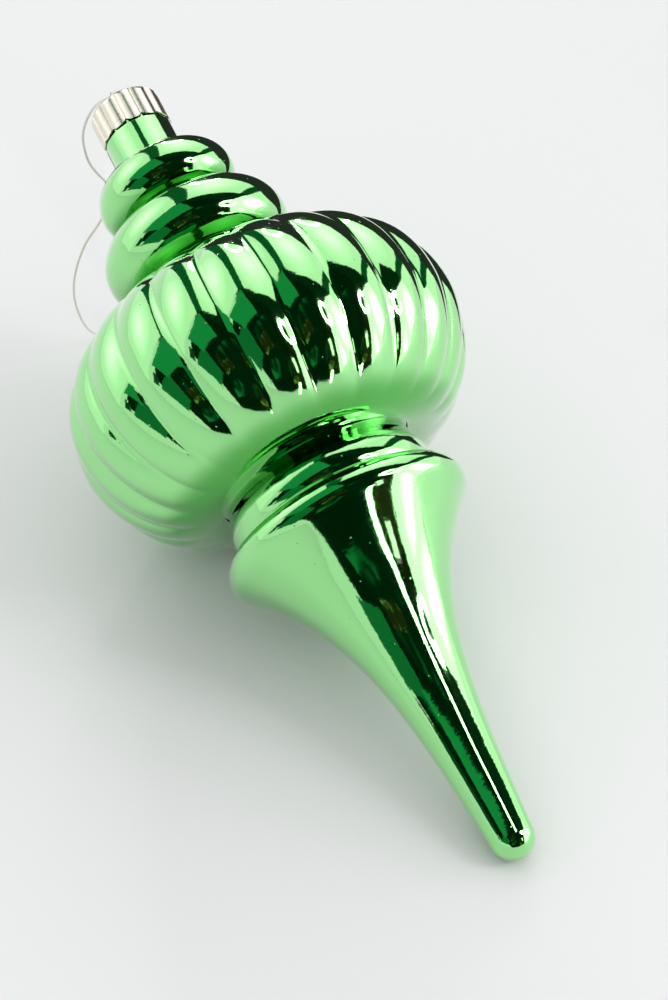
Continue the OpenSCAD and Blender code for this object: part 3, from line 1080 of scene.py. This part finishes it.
@dataclass(frozen=True)
class RingLamp:
    """A lamp in the shape of an open ring, seen face on from the ornament.

    Attributes:
        name: name of the lamp.
        centre: the direction of its middle.
        radius: its middle radius, in degrees.
        width: its band's width, in degrees.
        start: the angle at which the ring begins, in degrees.
        end: the angle at which it ends.
        radiance: how bright it is.
        distance: how far off it hangs, in metres.
        squash: its height as a share of its width.
        points: how many points it has along and across its band.
    """

    name: str
    centre: Pair
    radius: float
    width: float
    start: float
    end: float
    radiance: float
    distance: float
    squash: float = 1.0
    points: tuple[int, int] = (49, 3)

    def build(self) -> None:
        """Hangs the lamp: at angle A and radius R its direction is C + (R * cos(A), Q * R * sin(A))."""
        along, across = self.points
        angle = np.radians(np.linspace(self.start, self.end, along))[None, :, None]
        half = self.width / 2
        radius = np.linspace(self.radius - half, self.radius + half, across)[:, None, None]
        spread = np.concatenate([radius * np.cos(angle), self.squash * radius * np.sin(angle)], axis=-1)
        mesh = curved_mesh(self.name, np.array(self.centre, float) + spread, self.distance)
        hang_sheet(self.name, mesh, glow(self.name, self.radiance), True)


@dataclass(frozen=True)
class StripLamp:
    """A short strip of light close above the cone, which its mirror draws out to a long thin line.

    Attributes:
        name: name of the lamp.
        ends: the middles of its two ends, in metres.
        width: its width across, in metres.
        radiance: how bright it is.
    """

    name: str
    ends: tuple[tuple[float, float, float], tuple[float, float, float]]
    width: float
    radiance: float

    def build(self) -> None:
        """Hangs the strip, seen only in mirrors."""
        ends, across = np.array(self.ends, float), np.array([self.width / 2, 0.0, 0.0])
        corners = np.stack([ends[0] - across, ends[0] + across, ends[1] + across, ends[1] - across])
        mesh = bpy.data.meshes.new(self.name)
        mesh.from_pydata(corners.tolist(), [], [(0, 1, 2, 3)])
        hang_sheet(self.name, mesh, glow(self.name, self.radiance), False)


@dataclass(frozen=True)
class PhotoCamera:
    """The camera, as fitted to the outlines in the photo: place in metres, lens and sensor in mm."""

    place: tuple[float, float, float] = (-0.17384, -0.34129, 0.39920)
    right: tuple[float, float, float] = (0.8834, -0.4685, 0.0)
    forward: tuple[float, float, float] = (0.3340, 0.6299, -0.7011)
    lens: float = 86.4
    sensor: float = 36.0
    clip: Pair = (0.01, 50.0)

    def build(self) -> None:
        """Sets the camera up and makes it the scene's."""
        data = bpy.data.cameras.new("photo_camera")
        data.sensor_fit = "AUTO"
        data.sensor_width = self.sensor
        data.lens = self.lens
        data.clip_start, data.clip_end = self.clip
        camera = bpy.data.objects.new("photo_camera", data)
        forward = Vector(self.forward).normalized()
        up = Vector(self.right).normalized().cross(forward).normalized()
        right = forward.cross(up).normalized()
        turn = Matrix((right, up, -forward)).transposed().to_4x4()
        camera.matrix_world = Matrix.Translation(self.place) @ turn
        bpy.context.scene.collection.objects.link(camera)
        bpy.context.scene.camera = camera


@dataclass(frozen=True)
class PaperFloor:
    """The pale floor that the ornament lies on."""

    half: float = 4.0
    colour: Colour = (0.82, 0.825, 0.83)
    roughness: float = 0.6

    def build(self) -> None:
        """Lays the floor as one square."""
        h = self.half
        mesh = bpy.data.meshes.new("floor")
        mesh.from_pydata([(-h, -h, 0), (h, -h, 0), (h, h, 0), (-h, h, 0)], [], [(0, 1, 2, 3)])
        floor = bpy.data.objects.new("floor", mesh)
        bpy.context.scene.collection.objects.link(floor)
        g = NodeGraph("floor_paper")
        g.set(Base_Color=(*self.colour, 1.0), Roughness=self.roughness)
        mesh.materials.append(g.material)


@dataclass(frozen=True)
class SoftSurround:
    """Even light from all round, and the pale background that the camera and mirrors see."""

    light: Colour = (0.83, 0.83, 0.83)
    background: Colour = (0.87, 0.88, 0.89)

    def build(self) -> None:
        """Builds the world: the background on camera, glossy and transmission rays, else the light."""
        world = bpy.data.worlds.new("studio")
        world.use_nodes = True
        tree = world.node_tree
        path = tree.nodes.new("ShaderNodeLightPath")
        seen = path.outputs["Is Camera Ray"]
        for kind in ("Is Glossy Ray", "Is Transmission Ray"):
            either = tree.nodes.new("ShaderNodeMath")
            either.operation = "MAXIMUM"
            tree.links.new(seen, either.inputs[0])
            tree.links.new(path.outputs[kind], either.inputs[1])
            seen = either.outputs["Value"]
        mix = tree.nodes.new("ShaderNodeMix")
        mix.data_type = "RGBA"
        mix.inputs["A"].default_value = (*self.light, 1)
        mix.inputs["B"].default_value = (*self.background, 1)
        tree.links.new(seen, mix.inputs["Factor"])
        tree.links.new(mix.outputs["Result"], tree.nodes["Background"].inputs["Color"])
        bpy.context.scene.world = world


GREEN, OLIVE = Shade.GREEN, Shade.OLIVE
LIT_PANELS = (
    Board("panel_left", ((-17, 14), (-93, 14), (-66, 66), (2, 93)), 1.05, 3.0, 2.0, (0.45, 0.5), 0.45,
          lights_floor=False),
    Board("panel_back", ((-4, 12), (53, -4), (78, 48), (16, 91)), 1.1, 3.0, 2.1, (0.4, 0.45), 0.5,
          lights_floor=False),
    Board("panel_right", ((64, -6), (40, -24), (72, -58), (93, -8)), 1.9, 3.0, 4.6, (0.45, 0.62), 0.5),
    Board("panel_right_low", ((40, -24), (42, -82), (56, -74), (72, -58)), 1.8, 3.0, 4.2, (0.4, 0.7), 0.45),
    Board("panel_right_back", ((64, -6), (93, -8), (86, 34), (80, 27)), 1.2, 3.0),
)
DARK_ROOM = (
    Board("dark_room", ((-17, 15), (-77, -3), (-38, -90), (0, 0)), 0.012, 3.4, shade=GREEN),
    Board("dark_room_front", ((0, 0), (-38, -90), (2, -92), (40, -25)), 0.012, 3.4, shade=GREEN),
    Board("dark_room_corner", ((38, -24), (0, -92), (44, -81), (42, -50)), 0.012, 3.4, shade=OLIVE),
    Board("green_room", ((-34, -30), (-36, -70), (16, -74), (14, -20)), 0.05, 3.2, shade=GREEN, patches=2.5),
    Board("olive_room", ((12, -58), (12, -82), (42, -80), (40, -54)), 0.08, 3.2, shade=OLIVE, patches=3.0),
    Board("olive_shelf", ((-33, -38), (-30, -50), (-4, -46), (-6, -36)), 0.08, 3.1, shade=OLIVE, patches=3.0),
    Board("dark_room_top", ((-5, 12), (-17, 15), (-2, -2), (55, -6)), 0.02, 3.4, shade=GREEN),
    Board("dark_room_side", ((-2, 0), (40, -26), (66, -6), (54, -2)), 0.02, 3.4, shade=GREEN),
    Board("dark_band", ((-17, 15), (-5, 12), (17, 92), (2, 93)), 0.09, 3.4, shade=GREEN),
    Board("dark_stripe", ((54, -4), (65, -7), (80, 27), (74, 38)), 0.07, 3.4, shade=GREEN),
    Board("grey_ceiling", ((-64, 9), (-13, 13), (-6, -18), (-50, -20)), 0.26, 3.1, shade=GREEN),
    Board("green_wall", ((-80, -12), (-46, -16), (-38, -46), (-60, -52)), 0.15, 3.15, shade=GREEN),
    Board("dark_corner", ((-84, 3), (-70, 4), (-69, -6), (-80, -8)), 0.05, 3.05, shade=GREEN),
    Board("bright_shelf", ((24, -55), (31, -53), (33, -66), (27, -68)), 2.0, 3.1),
    Board("floor_end", ((1, 82), (80, 22), (150, 42), (2, 156)), 0.03, 0.28),
)
LAMPS = (
    RingLamp("ring_lamp_front", (38, -31), 9, 5, 70, 370, 12.0, 2.9, 0.72),
    RingLamp("ring_lamp_back", (27, 65), 10, 4, 60, 330, 12.0, 2.8),
    StripLamp("strip_lamp", ((0.0158, -0.084, 0.0788), (0.0115, -0.1145, 0.0637)), 0.007, 8.0),
)


@dataclass(frozen=True)
class Studio:
    """Floor, light and camera."""

    camera: PhotoCamera = PhotoCamera()
    floor: PaperFloor = PaperFloor()
    surround: SoftSurround = SoftSurround()
    sheets: tuple[Board | RingLamp | StripLamp, ...] = LIT_PANELS + DARK_ROOM + LAMPS

    def build(self) -> None:
        """Sets up the camera, the floor, the surround and each sheet in order."""
        self.camera.build()
        self.floor.build()
        self.surround.build()
        for sheet in self.sheets:
            sheet.build()
        bpy.context.scene.view_settings.view_transform = "Standard"
        LOG.info("studio: %d sheets", len(self.sheets))


def main() -> None:
    """Builds the studio and the ornament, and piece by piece."""
    logging.basicConfig(level=logging.INFO)
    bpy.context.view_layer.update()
    Studio().build()
    fibre = THREAD_FIBRE.material()
    HangingThread().build(fibre)
    MouldedBody(BodySizes(), Lie(), MirrorLacquer()).build()
    PackedNode.CAP.dress(CAP_METAL.material())
    PackedNode.HANGER_WIRE.dress(WIRE_METAL.material())
    PackedNode.THREAD_KNOT.dress(fibre)


if __name__ == "__main__":
    main()
